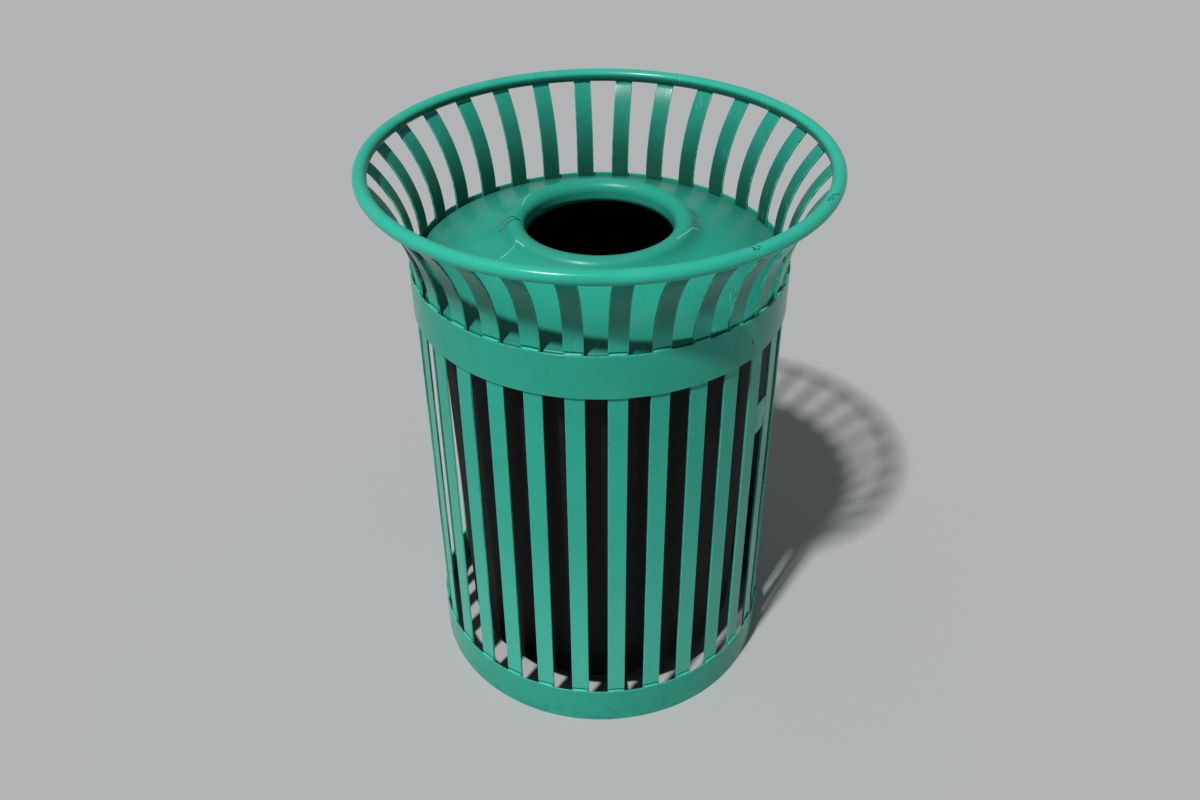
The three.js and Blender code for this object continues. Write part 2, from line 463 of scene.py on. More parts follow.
# All green paint
CLOUD_SCALE = 5.0
CLOUD_SPAN = (0.3, 0.75)
CLOUD_SHARE = 0.45
MOTTLE_SCALE = 16.0
MOTTLE_SPAN = (0.5, 0.8)
MOTTLE_SHARE = 0.22
STREAK_STRETCH = (120.0, 120.0, 3.5)
STREAK_SPAN = (0.55, 0.78)
SCRATCH_STRETCH = (900.0, 26.0, 26.0)
SCRATCH_EDGE = 0.03
# Directions of the fine scratches, each with the noise value above which they show
SCRATCH_LAYERS = (((0.5, 0.3, 0.9), 0.71), ((-0.7, 0.4, 2.2), 0.72), ((0.2, 1.3, 0.1), 0.72))
PATCH_SCALE = 11.0
PATCH_SPAN = (0.5, 0.62)
# Paler edges, partly worn paint and partly a painted highlight
RUB_SCALE = 140.0
RUB_SPAN = (0.3, 0.62)
RUB_AND_SHEEN_SHARE = 0.55
CHIP_SCALE = 260.0
CHIP_SPAN = (0.71, 0.73)
CHIP_SHARE = 0.85
MARK_SHARE = 0.85
UPWARD_SPAN = (0.35, 0.95)
DUST_SCALE = 12.0
DUST_SPAN = (0.45, 0.75)
DUST_SHARE = 0.14
SPLASH_HEIGHTS = (0.004, 0.05)
SPLASH_SCALE = 60.0
SPLASH_SPAN = (0.4, 0.66)
SPLASH_SHARE = 0.28
PAINT_SPECULAR = 0.2
ROUGH_SCALE = 30.0
ROUGH_SPREAD = 0.1
ROUGH_LEAST = 0.17
DUST_ROUGH = 0.9
SCRATCH_ROUGH = 0.25
DIRT_ROUGH = 0.4
PEEL_SCALE = 520.0
PEEL_BUMP = (0.12, 0.12 * MM)
DENT_SCALE = 26.0
DENT_BUMP = (0.35, 0.8 * MM)
SCORE_BUMP = (0.4, 0.15 * MM)
MARK_BUMP = (0.7, 0.6 * MM)


def toned(tint, tone):
    return (tint[0] * tone, tint[1] * tone, tint[2] * tone, 1.0)


def outward_facing(finish):
    """1 on faces that look away from the bin's axis, -1 on faces that look towards it."""
    normal = finish.node("NewGeometry").outputs["Normal"]
    radial = finish.vector("NORMALIZE", finish.vector("MULTIPLY", finish.place, (1, 1, 0)))
    return finish.vector("DOT_PRODUCT", normal, radial, output=1)


def slat_painted_light(finish, tint):
    """Outside: painted bounce light from the floor low down, painted shade under the flare, and a painted
    shade line in the crease above the welds.

    On the inner faces, painted shade that grows deeper down to the lid."""
    height = finish.height()
    outward = outward_facing(finish)
    shaded_inside = finish.between(finish.times(outward, -1.0), *SIDE_SPAN)
    outside = finish.between(outward, *SIDE_SPAN)
    # painted bounce light from the floor, low on the outer faces
    low = finish.without(finish.between(height, *FLOOR_BOUNCE_SPAN))
    tint = finish.mix(finish.times(low, outside, FLOOR_BOUNCE_SHARE), tint, PAINT_WORN_AND_LIT)
    # painted shade on the inner faces, deepest at the lid, with an uneven upper edge
    blotch = finish.times(finish.noise(BLOTCH_SCALE, detail=3.0), BLOTCH_DEPTH)
    uneven = finish.math("ADD", height, finish.math("SUBTRACT", blotch, BLOTCH_DEPTH / 2))
    depth = finish.without(finish.between(uneven, LID_LEVEL, SHADE_FADE_LEVEL))
    inner_shade = finish.math("ADD", finish.times(depth, INNER_SHADE_SPREAD), INNER_SHADE_LEAST)
    tint = finish.mix(finish.times(inner_shade, shaded_inside), tint, PAINTED_SHADE_GREEN)
    # painted shade on the outer faces under the flare
    flare_shade = finish.between(uneven, *FLARE_SHADE_SPAN)
    tint = finish.mix(finish.times(flare_shade, outside, FLARE_SHADE_SHARE), tint, PAINTED_SHADE_GREEN)
    # a painted shade line in the crease above each weld bead on the bands
    for seam in (BASE_HIGH.z, TOP_HIGH.z):
        away = finish.math("ABSOLUTE", finish.math("SUBTRACT", height, seam + CREASE_SHADE_RISE))
        line = finish.without(finish.between(away, *CREASE_SHADE_SPAN))
        tint = finish.mix(finish.times(line, outside, CREASE_SHADE_SHARE), tint, GRIME_AND_CREASE_SHADE)
    return tint


def rim_painted_shade(finish, tint):
    """Painted shade where the tube looks inward and downward."""
    inward = finish.between(finish.times(outward_facing(finish), -1.0), *RIM_INWARD_SPAN)
    under = finish.without(finish.between(finish.facing_up(), *RIM_UPWARD_SPAN))
    return finish.mix(finish.times(inward, under, RIM_SHADE_SHARE), tint, PAINTED_SHADE_GREEN)


def lid_painted_shade(finish, tint):
    """Painted shade towards the edge, under the rim and the flare slats."""
    flat = finish.vector("MULTIPLY", finish.place, (1, 1, 0))
    radius = finish.vector("LENGTH", flat, output=1)
    edge = finish.between(radius, *LID_EDGE_SHADE_SPAN)
    return finish.mix(finish.times(edge, LID_EDGE_SHADE_SHARE), tint, PAINTED_SHADE_GREEN)


def fine_scratches(finish, scuffed):
    """Fine scratches in three directions, in patches."""
    scratches = None
    for turn, reach in SCRATCH_LAYERS:
        lines = finish.noise(1.0, detail=1.0, stretch=SCRATCH_STRETCH, turn=turn)
        fine = finish.between(lines, reach, reach + SCRATCH_EDGE)
        scratches = fine if scratches is None else finish.math("MAXIMUM", scratches, fine)
    patches = finish.between(finish.noise(PATCH_SCALE, detail=2.0), *PATCH_SPAN)
    return finish.times(scratches, patches, scuffed)


def green_paint(name, strokes=(), scuffed=0.5, streaks=0.0, tone=1.0, painted_light=None, matt=0.0, flat=False):
    """Semi-gloss powder coat: faint mottling, paler edges that are partly worn and partly painted
    highlight, fine scratches, dust and grime.

    strokes are (start, end, width, waver, tint) marks. scuffed is how much of the surface is
    scratched, and streaks how strongly it is stained downward. tone scales the paint's depth, and
    weather(finish, tint) adds the painted light and shade that only this piece has. matt is added
    to the roughness, and flat strokes leave heights out."""
    finish = Finish(name)
    clouds = finish.noise(CLOUD_SCALE, detail=3.0)
    mottle = finish.noise(MOTTLE_SCALE, detail=3.0, rough=0.5)
    shift = finish.times(finish.between(clouds, *CLOUD_SPAN), CLOUD_SHARE)
    tint = finish.mix(shift, toned(PAINT, tone), toned(PAINT_DEEP, tone))
    faded = finish.times(finish.between(mottle, *MOTTLE_SPAN), MOTTLE_SHARE)
    tint = finish.mix(faded, tint, toned(PAINT_FADED, tone))
    run_down = finish.noise(1.0, detail=4.0, rough=0.6, stretch=STREAK_STRETCH)
    stained = finish.times(finish.between(run_down, *STREAK_SPAN), streaks)
    tint = finish.mix(stained, tint, PAINT_DEEP)
    # painted light and shade that only this piece has
    if painted_light:
        tint = painted_light(finish, tint)

    scratches = fine_scratches(finish, scuffed)
    tint = finish.mix(scratches, tint, SCRATCH)
    edge = finish.edge()
    # paler edges: partly worn paint, partly a painted highlight on the rounded edges
    rubbed_and_highlit = finish.between(finish.noise(RUB_SCALE, detail=3.0), *RUB_SPAN)
    tint = finish.mix(finish.times(edge, rubbed_and_highlit, RUB_AND_SHEEN_SHARE), tint, PAINT_WORN_AND_LIT)
    chip_noise = finish.between(finish.noise(CHIP_SCALE, detail=2.0), *CHIP_SPAN)
    chips = finish.times(chip_noise, edge, CHIP_SHARE)
    tint = finish.mix(chips, tint, BARE)

    marked = None
    for start, end, width, waver, mark in strokes:
        line = finish.stroke(start, end, width, waver, flat)
        tint = finish.mix(finish.times(line, MARK_SHARE), tint, mark)
        marked = line if marked is None else finish.math("MAXIMUM", marked, line)

    up = finish.between(finish.facing_up(), *UPWARD_SPAN)
    settled = finish.between(finish.noise(DUST_SCALE, detail=4.0, rough=0.6), *DUST_SPAN)
    dust = finish.times(up, settled, DUST_SHARE)
    tint = finish.mix(dust, tint, DUST)
    low = finish.without(finish.between(finish.height(), *SPLASH_HEIGHTS))
    splash = finish.between(finish.noise(SPLASH_SCALE, detail=5.0, rough=0.7), *SPLASH_SPAN)
    dirt = finish.times(low, splash, SPLASH_SHARE)
    tint = finish.mix(dirt, tint, GRIME_AND_CREASE_SHADE)
    finish.feed(finish.shader.inputs["Base Color"], tint)

    rough = finish.times(finish.noise(ROUGH_SCALE, detail=4.0), ROUGH_SPREAD)
    rough = finish.math("ADD", rough, ROUGH_LEAST + matt)
    rough = finish.math("ADD", rough, finish.times(dust, DUST_ROUGH))
    rough = finish.math("ADD", rough, finish.times(scratches, SCRATCH_ROUGH))
    rough = finish.math("ADD", rough, finish.times(dirt, DIRT_ROUGH), clamp=True)
    finish.feed(finish.shader.inputs["Roughness"], rough)

    peel = finish.bump(finish.noise(PEEL_SCALE, detail=2.0), *PEEL_BUMP)
    dents = finish.bump(finish.noise(DENT_SCALE, detail=1.0), *DENT_BUMP, peel)
    finish.shader.inputs["Specular IOR Level"].default_value = PAINT_SPECULAR
    scored = finish.without(finish.math("MAXIMUM", scratches, chips))
    shaped = finish.bump(scored, *SCORE_BUMP, dents)
    if marked is not None:
        shaped = finish.bump(finish.without(marked), *MARK_BUMP, shaped)
    finish.feed(finish.shader.inputs["Normal"], shaped)
    return finish.material


PLASTIC = colour(17, 17, 17)
PLASTIC_SCUFFED = colour(27, 26, 24)
PLASTIC_STAINED = colour(26, 21, 18)
PLASTIC_WORN = colour(58, 58, 57)
# Near black for painted shade on the liner's inner faces
PLASTIC_INSIDE_SHADE = colour(5, 5, 6)
SCUFF_STRETCH = (70.0, 70.0, 2.2)
SCUFF_SPAN = (0.45, 0.75)
SCUFF_BUMP = (0.25, 0.4 * MM)
STAIN_SCALE = 9.0
STAIN_SPAN = (0.48, 0.7)
STAIN_SHARE = 0.3
WORN_SHARE = 0.5
PLASTIC_ROUGH_SCALE = 48.0
PLASTIC_ROUGH_SPREAD = 0.22
PLASTIC_ROUGH_LEAST = 0.5
PLASTIC_SPECULAR = 0.25
GRAIN_SCALE = 1400.0
GRAIN_BUMP = (0.35, 0.12 * MM)


def liner_plastic(name):
    """Matt black moulded plastic: fine grain, vertical scuffs from being lifted, faint stains, and
    painted shade on the inner faces.
    """
    finish = Finish(name)
    rubs = finish.noise(1.0, detail=5.0, rough=0.6, stretch=SCUFF_STRETCH)
    tint = finish.mix(finish.between(rubs, *SCUFF_SPAN), PLASTIC, PLASTIC_SCUFFED)
    stains = finish.between(finish.noise(STAIN_SCALE, detail=4.0), *STAIN_SPAN)
    tint = finish.mix(finish.times(stains, STAIN_SHARE), tint, PLASTIC_STAINED)
    tint = finish.mix(finish.times(finish.edge(), WORN_SHARE), tint, PLASTIC_WORN)
    # painted shade on the inner faces
    shaded_inside = finish.node("Attribute", {"attribute_name": "shaded_inside"}).outputs["Fac"]
    tint = finish.mix(shaded_inside, tint, PLASTIC_INSIDE_SHADE)
    finish.feed(finish.shader.inputs["Base Color"], tint)
    rough = finish.times(finish.noise(PLASTIC_ROUGH_SCALE, detail=4.0), PLASTIC_ROUGH_SPREAD)
    rough = finish.math("ADD", rough, PLASTIC_ROUGH_LEAST)
    finish.feed(finish.shader.inputs["Roughness"], rough)
    finish.shader.inputs["Specular IOR Level"].default_value = PLASTIC_SPECULAR
    grain = finish.bump(finish.noise(GRAIN_SCALE, detail=2.0), *GRAIN_BUMP)
    drawn = finish.bump(rubs, *SCUFF_BUMP, grain)
    finish.feed(finish.shader.inputs["Normal"], drawn)
    return finish.material


# ---------------------------------------------------------------- frame pieces


def polar(radius, degrees, height):
    angle = math.radians(degrees)
    return (radius * math.cos(angle), radius * math.sin(angle), height)


# Bruises on the rim, by direction in degrees, with half their length along the rim
RIM_BRUISES = ((-54.6, 0.9), (-23.7, 1.4))
BRUISE_DEPTH = 1.1 * MM
# Cuts in the paint at the bruises: chains of (direction, angle round the tube), 90 is the top
RIM_MARKS = (
    ((-55.6, 92), (-55.2, 74), (-55.5, 58)),
    ((-54.2, 84), (-53.8, 70)),
    ((-54.9, 60), (-54.2, 54)),
    ((-26.4, 88), (-24.6, 93), (-22.8, 90)),
    ((-25.0, 72), (-22.4, 76)),
    ((-22.2, 66), (-21.6, 50)),
)
RIM_SEAM = math.radians(97)  # where the ends of the bent pipe are welded together
SEAM_HALF = 0.012  # radians along the rim
SEAM_SWELL = 0.035
UNDER_SWELL = 0.02  # the tube may swell by this share underneath, and not at all on top
RIM_STEPS = 480
RIM_SIDES = 32
RIM_WIDE = 0.985  # share of the full tube, which leaves room for the unevenness
RIM_TALL = 0.97
RIM_SWAY = 0.35 * MM
RIM_RISE = 0.3 * MM
RIM_MARK_WIDTH = 1.5 * MM
RIM_MARK_WAVER = 1.5 * MM


def rim_shape(radius, height, angle):
    """Pipe with a ground-flush weld, two bruises and a slight hand-rolled unevenness."""
    across = radius - RIM_RADIUS
    up = height - RIM_HEIGHT
    swell = 1.0
    for degrees, half in RIM_BRUISES:
        away = (math.degrees(angle) - degrees + 180) % 360 - 180
        dent = math.exp(-((away / half) ** 2))
        if up > 0:
            swell -= dent * BRUISE_DEPTH / RIM_TUBE * (up / RIM_TUBE)
    seam = (angle - RIM_SEAM + math.pi) % (2 * math.pi) - math.pi
    swell += SEAM_SWELL * math.exp(-((seam / SEAM_HALF) ** 2))
    ring = RIM_RADIUS + RIM_SWAY * wobble(angle, seed=3.1, scale=1.6)
    level = RIM_HEIGHT + RIM_RISE * wobble(angle, seed=8.4, scale=1.4)
    swell = min(swell, 1.0 + UNDER_SWELL * (up < 0))
    return ring + across * swell * RIM_WIDE, level + up * swell * RIM_TALL


def rim_point(degrees, tube_degrees):
    """Point on the surface of the rim's tube."""
    turn = math.radians(tube_degrees)
    radius = RIM_RADIUS + RIM_TUBE * math.cos(turn)
    return polar(radius, degrees, RIM_HEIGHT + RIM_TUBE * RIM_TALL * math.sin(turn))


def make_rim():
    last = RIM_SIDES - 1
    outline = arc((RIM_RADIUS, RIM_HEIGHT), RIM_TUBE, 0, 2 * math.pi * last / RIM_SIDES, last)
    points, faces = turned(outline, RIM_STEPS, rim_shape)
    piece = new_piece("rim_pipe", points, faces, "frame", "green_paint", "rim_tube")
    strokes = []
    for chain in RIM_MARKS:
        places = [rim_point(*place) for place in chain]
        for begin, end in zip(places, places[1:]):
            strokes.append((begin, end, RIM_MARK_WIDTH, RIM_MARK_WAVER, GRIME_AND_CREASE_SHADE))
    # painted shade on the tube's inner underside
    paint = green_paint("rim_paint", strokes, scuffed=0.4, tone=1.22, painted_light=rim_painted_shade)
    piece.data.materials.append(paint)


BAND_STEPS = 360
BAND_WAVE = 0.3 * MM


def make_band(name, low, high, node, finish):
    def rolled(radius, height, angle):
        wave = wobble(angle, seed=low.z * 9, scale=2.2, height=height * 4)
        return radius + BAND_WAVE * wave, height

    outline = rounded_box(
        (BAND_RADIUS - BAND_THICKNESS, low.z), (BAND_RADIUS, high.z), EDGE_ROUND, splits=(6, 1)
    )
    points, faces = turned(outline, BAND_STEPS, rolled)
    piece = new_piece(name, points, faces, "frame", "green_paint", node)
    piece.data.materials.append(finish)


STRAIGHT_STEPS = 14
BEND_STEPS = 26
SLAT_BOW = 0.25 * MM
SLAT_BOW_WAVES = 5  # per metre of height
SLAT_SEED = 3.7  # makes each slat bow differently


def slat_path(seed):
    """Middle line of a slat as (radius, height, slope), with the small bow of a hand-set bar."""
    path = []
    for step in range(STRAIGHT_STEPS):
        height = SLAT_BOTTOM + (FLARE_START - SLAT_BOTTOM) * step / STRAIGHT_STEPS
        bow = SLAT_BOW * noise.noise(Vector((seed * SLAT_SEED, height * SLAT_BOW_WAVES, 0.5)))
        path.append((SLAT_MIDDLE + bow, height, 0.0))
    for step in range(BEND_STEPS + 1):
        angle = FLARE_ANGLE * step / BEND_STEPS
        path.append(
            (
                BEND_CENTRE - FLARE_RADIUS * math.cos(angle),
                FLARE_START + FLARE_RADIUS * math.sin(angle),
                angle,
            )
        )
    return path


def make_slat(index, finish):
    direction = FRONT + (index + 0.5) * SLAT_PITCH
    outward = Vector((math.cos(direction), math.sin(direction), 0))
    across = Vector((-outward.y, outward.x, 0))
    section = rounded_box(
        (-SLAT_THICKNESS / 2, -SLAT_WIDTH / 2),
        (SLAT_THICKNESS / 2, SLAT_WIDTH / 2),
        EDGE_ROUND,
        splits=(4, 1),
    )
    points = []
    path = slat_path(index + 1)
    for radius, height, slope in path:
        middle = outward * radius + Vector((0, 0, height))
        normal = outward * math.cos(slope) - Vector((0, 0, math.sin(slope)))
        points += [middle + normal * through + across * side for through, side in section]
    rows = len(path)
    columns = len(section)
    faces = swept_grid(rows, columns, False, True)
    faces.append(tuple(reversed(range(columns))))
    faces.append(tuple(range((rows - 1) * columns, rows * columns)))
    name = f"slat_bar_{index + 1:02d}"
    piece = new_piece(name, points, faces, "frame", "green_paint", SLATS[index])
    piece.data.materials.append(finish)


# ---------------------------------------------------------------- weld beads

BEAD_STEPS = 22
BEAD_SIDES = 9
BEAD_RIPPLES = 8.0
BEAD_RIPPLE = 0.1  # shares of the bead's radius
BEAD_UNEVENNESS = 0.12
BEAD_SWELL = 0.92
BEAD_TIP = 0.08
BEAD_BLUNTNESS = 5
BEAD_SHARE = 0.94  # of a slat's width
BEAD_SEED = 1.7  # makes each slat's bead a little different


def bead(start, end, radius, points, faces, seed):
    """Adds a rippled weld bead with round ends between two points."""
    start, end = Vector(start), Vector(end)
    run = end - start
    along = run.normalized()
    side = along.orthogonal().normalized()
    other = along.cross(side)
    first = len(points)
    for step in range(BEAD_STEPS + 1):
        share = step / BEAD_STEPS
        taper = math.sqrt(max(1 - abs(2 * share - 1) ** BEAD_BLUNTNESS, 0.0)) * BEAD_SWELL + BEAD_TIP
        ripple = 1 + BEAD_RIPPLE * math.sin(2 * math.pi * BEAD_RIPPLES * share + seed)
        uneven = 1 + BEAD_UNEVENNESS * noise.noise(Vector((seed, share * 4, 0.3)))
        size = radius * taper * ripple * uneven
        for turn in range(BEAD_SIDES):
            angle = 2 * math.pi * turn / BEAD_SIDES
            points.append(
                start + run * share + (side * math.cos(angle) + other * math.sin(angle)) * size
            )
    rows = BEAD_STEPS + 1
    for face in swept_grid(rows, BEAD_SIDES, False, True):
        faces.append(tuple(first + corner for corner in face))
    faces.append(tuple(first + turn for turn in reversed(range(BEAD_SIDES))))
    last = first + (rows - 1) * BEAD_SIDES
    faces.append(tuple(last + turn for turn in range(BEAD_SIDES)))


def beads_across_slats(name, size, place, finish):
    """One bead across every slat, at (radius, height)."""
    points, faces = [], []
    half = SLAT_WIDTH / 2 * BEAD_SHARE
    for index in range(len(SLATS)):
        direction = FRONT + (index + 0.5) * SLAT_PITCH
        outward = Vector((math.cos(direction), math.sin(direction), 0))
        across = Vector((-outward.y, outward.x, 0))
        middle = outward * place[0] + Vector((0, 0, place[1]))
        bead(middle - across * half, middle + across * half, size, points, faces, index * BEAD_SEED)
    piece = new_piece(name, points, faces, "frame", "green_paint")
    piece.data.materials.append(finish)


BAND_BEAD = 2.1 * MM
BAND_BEAD_OUT = 1.4 * MM
BAND_BEAD_RISE = 0.9 * MM
# Beads at the rim: name, radius, side of the slat, offset from that face away from the bend's
# centre, and shift along the slat
RIM_BEADS = (
    ("inner", 1.5 * MM, 1, 0.3 * MM, -1.2 * MM),
    ("outer", 2.1 * MM, -1, 0.4 * MM, 0.8 * MM),
)


def make_welds(finish):
    seat = SLAT_OUTER + BAND_BEAD_OUT
    for name, top in (("base", BASE_HIGH.z), ("top", TOP_HIGH.z)):
        place = (seat, top + BAND_BEAD_RISE)
        beads_across_slats(f"weld_beads_{name}_band", BAND_BEAD, place, finish)
    for name, size, side, offset, shift in RIM_BEADS:
        reach = FLARE_RADIUS + side * SLAT_THICKNESS / 2 + offset
        angle = FLARE_ANGLE + shift / FLARE_RADIUS
        place = (BEND_CENTRE - reach * math.cos(angle), FLARE_START + reach * math.sin(angle))
        beads_across_slats(f"weld_beads_rim_{name}", size, place, finish)


# ---------------------------------------------------------------- inner frame and plate


def make_support_ring(finish):
    outline = rounded_box(
        (SUPPORT_INNER, SUPPORT_LOW.z), (SUPPORT_HIGH.x, SUPPORT_HIGH.z), EDGE_ROUND, splits=(1, 3)
    )
    points, faces = turned(outline)
    piece = new_piece(
        "lid_rest_ring", points, faces, "frame", "green_paint", "lid_support_ring"
    )
    piece.data.materials.append(finish)


SPIDER_ARMS = 3
SPIDER_ARM_WIDTH = 20 * MM
ANCHOR_HOLE = 7 * MM
ARM_CORNER = 4 * MM
CORNER_STEPS = 4
HOLE_STEPS = 24
BEVEL_SEGMENTS = 3
SHARP_ANGLE = math.radians(40)  # edges that turn by more are rounded


def bevelled(name, node, flat, thickness, matrix, finish):
    """Plate made from a flat bmesh: thickened, with its sharp edges rounded."""
    data = bpy.data.meshes.new(name)
    flat.to_mesh(data)
    flat.free()
    scratch = bpy.data.objects.new(name, data)
    bpy.context.scene.collection.objects.link(scratch)
    solid = scratch.modifiers.new("thickness", "SOLIDIFY")
    solid.thickness = thickness
    solid.offset = 0
    rounding = scratch.modifiers.new("rounding", "BEVEL")
    rounding.width = EDGE_ROUND
    rounding.segments = BEVEL_SEGMENTS
    rounding.limit_method = "ANGLE"
    rounding.angle_limit = SHARP_ANGLE
    graph = bpy.context.evaluated_depsgraph_get()
    shaped = bpy.data.meshes.new_from_object(scratch.evaluated_get(graph))
    bpy.data.objects.remove(scratch)
    points = [matrix @ vertex.co for vertex in shaped.vertices]
    faces = [tuple(face.vertices) for face in shaped.polygons]
    piece = new_piece(name, points, faces, "frame", "green_paint", node)
    piece.data.materials.append(finish)


def spider_edge():
    """Outline of the three-armed plate, with rounded arm ends."""
    reach = SLAT_INNER - FIT_GAP
    half = SPIDER_ARM_WIDTH / 2
    half_turn = math.pi / SPIDER_ARMS
    outline = []
    for arm in range(SPIDER_ARMS):
        direction = FRONT + SLAT_PITCH / 2 + 2 * half_turn * arm
        right = (reach - ARM_CORNER, ARM_CORNER - half)
        left = (reach - ARM_CORNER, half - ARM_CORNER)
        local = arc(right, ARM_CORNER, -math.pi / 2, 0, CORNER_STEPS)
        local += arc(left, ARM_CORNER, 0, math.pi / 2, CORNER_STEPS)
        local.append((half / math.tan(half_turn), half))
        turn = Matrix.Rotation(direction, 2)
        outline += [turn @ Vector(point) for point in local]
    return outline


def make_spider(finish):
    flat = bmesh.new()
    outer = [flat.verts.new((point.x, point.y, 0)) for point in spider_edge()]
    inner = []
    for step in range(HOLE_STEPS):
        angle = 2 * math.pi * step / HOLE_STEPS
        inner.append(flat.verts.new((ANCHOR_HOLE * math.cos(angle), ANCHOR_HOLE * math.sin(angle), 0)))
    rims = []
    for loop in (outer, inner):
        for index, vertex in enumerate(loop):
            rims.append(flat.edges.new((vertex, loop[(index + 1) % len(loop)])))
    bmesh.ops.triangle_fill(flat, use_beauty=True, use_dissolve=False, edges=rims)
    thickness = SPIDER_HIGH.z - SPIDER_LOW.z
    middle = Matrix.Translation((0, 0, (SPIDER_HIGH.z + SPIDER_LOW.z) / 2))
    bevelled("liner_rest_spider", "base_spider", flat, thickness, middle, finish)


PLATE_GAP = 5  # gaps counted from the front, towards +X
PLATE_CORNER = 1.2 * MM
PLATE_BEAD = 1.1 * MM
PLATE_BEAD_HALF = 6 * MM
PLATE_BEAD_INSET = 9 * MM  # from the plate's ends
PLATE_BEAD_DEPTH = 0.4 * MM
PLATE_SEED = 900  # makes each bead a little different


def make_plate(finish):
    """Flat bridging plate between two slats, with a weld bead near each of its corners."""
    direction = FRONT + PLATE_GAP * SLAT_PITCH
    half_pitch = SLAT_PITCH / 2
    half_slat = SLAT_WIDTH / 2
    outer = SLAT_OUTER * math.cos(half_pitch) + half_slat * math.sin(half_pitch)
    corner = SLAT_INNER * math.sin(half_pitch) - half_slat * math.cos(half_pitch)
    half_width = corner - FIT_GAP
    low, high = PLATE_LOW.z, PLATE_HIGH.z
    outline = rounded_box((-half_width, low), (half_width, high), PLATE_CORNER, splits=(8, 4))
    flat = bmesh.new()
    ring = [flat.verts.new((across, height, 0)) for across, height in outline]
    flat.faces.new(ring)
    turn = Matrix.Rotation(direction, 4, "Z")
    upright = Matrix(((0, 0, 1, outer - SLAT_THICKNESS / 2), (1, 0, 0, 0), (0, 1, 0, 0), (0, 0, 0, 1)))
    bevelled("bridge_plate", "tag_plate", flat, SLAT_THICKNESS, turn @ upright, finish)
    points, faces = [], []
    seam = outer - PLATE_BEAD_DEPTH
    outward = Vector((math.cos(direction), math.sin(direction), 0))
    across = Vector((-outward.y, outward.x, 0))
    for side in (-1, 1):
        for height in (low + PLATE_BEAD_INSET, high - PLATE_BEAD_INSET):
            middle = outward * seam + across * (side * (half_width + FIT_GAP / 2))
            rise = Vector((0, 0, PLATE_BEAD_HALF))
            centre = middle + Vector((0, 0, height))
            seed = height * PLATE_SEED + side
            bead(centre - rise, centre + rise, PLATE_BEAD, points, faces, seed)
    welds = new_piece("weld_beads_plate", points, faces, "frame", "green_paint")
    welds.data.materials.append(finish)


# ---------------------------------------------------------------- lid

SHOULDER_STEPS = 5
CONE_STEPS = 12
FILLET_STEPS = 12
ROLL_STEPS = 22
LID_STEPS = 300
LID_SEAT = 12 * MM  # width of the even edge that rests on the ring
LID_FADE = 40 * MM
LID_DENT = 0.55 * MM
LID_DENT_SCALE = 9  # waves per metre
LID_RIPPLE = 0.05 * MM  # spinning marks on the cone
RIPPLE_PITCH = 7 * MM
RIPPLE_FADE = 14 * MM


def lid_fillet(cone_fall, roll_start):
    """Curve between the cone and the roll that leaves each along its tangent, ends left out."""
    roll_fall = 1 / math.tan(ROLL_OUTER_ANGLE)
    radius, height = CONE_TOP
    drop = roll_start[1] - height + roll_fall * roll_start[0] - cone_fall * radius
    crossing = drop / (roll_fall - cone_fall)
    start = Vector(CONE_TOP)
    turn = Vector((crossing, height + cone_fall * (radius - crossing)))
    end = Vector(roll_start)
    points = []
    for step in range(1, FILLET_STEPS):
        share = step / FILLET_STEPS
        points.append(tuple(start.lerp(turn, share).lerp(turn.lerp(end, share), share)))
    return points


def lid_upper_face():
    """Upper face of the spun sheet, from the foot of the skirt to the foot of the neck."""
    edge = LID_HIGH.x
    skirt_bottom = LID_LOW.z
    shoulder = (edge - LID_SHOULDER, skirt_bottom + LID_SKIRT)
    rise = CONE_TOP[1] - shoulder[1] - LID_SHOULDER
    cone_angle = math.atan2(rise, shoulder[0] - CONE_TOP[0])
    face = [(edge, skirt_bottom), (edge, skirt_bottom + LID_SKIRT / 2)]
    face += arc(shoulder, LID_SHOULDER, 0, math.pi / 2 - cone_angle, SHOULDER_STEPS)
    roll = arc(ROLL_CENTRE, ROLL_RADIUS, ROLL_OUTER_ANGLE, math.pi, ROLL_STEPS)
    foot = face[-1]
    for step in range(1, CONE_STEPS + 1):
        share = step / CONE_STEPS
        face.append(
            (
                foot[0] + (CONE_TOP[0] - foot[0]) * share,
                foot[1] + (CONE_TOP[1] - foot[1]) * share,
            )
        )
    face += lid_fillet(math.tan(cone_angle), roll[0])
    neck = ROLL_CENTRE[0] - ROLL_RADIUS
    return [*face, *roll, (neck, (ROLL_CENTRE[1] + NECK_BOTTOM) / 2), (neck, NECK_BOTTOM)]


def sheet_outline(upper, thickness):
    """Closed outline of a sheet below an upper face, with rounded rims at both ends."""
    lower = []
    for index, point in enumerate(upper):
        before = Vector(upper[max(index - 1, 0)])
        after = Vector(upper[min(index + 1, len(upper) - 1)])
        run = (after - before).normalized()
        lower.append(Vector(point) + Vector((-run.y, run.x)) * thickness)
    first_rim = [Vector(upper[0]).lerp(lower[0], share) for share in (0.25, 0.75)]
    last_rim = [Vector(upper[-1]).lerp(lower[-1], share) for share in (0.25, 0.75)]
    return [tuple(p) for p in [*upper, *last_rim, *reversed(lower), *reversed(first_rim)]]


def lid_shape(radius, height, angle):
    """Slight unevenness of the spun sheet, none at the seat."""
    free = min(max((LID_HIGH.x - LID_SEAT - radius) / LID_FADE, 0), 1)
    scale = radius * LID_DENT_SCALE
    dent = LID_DENT * noise.noise(Vector((scale * math.cos(angle), scale * math.sin(angle), 4.2)))
    ripple = LID_RIPPLE * math.sin(radius * 2 * math.pi / RIPPLE_PITCH)
    off_roll = min(max((radius - ROLL_CENTRE[0] - ROLL_RADIUS) / RIPPLE_FADE, 0), 1)
    return radius, height + free * (dent + ripple * off_roll)


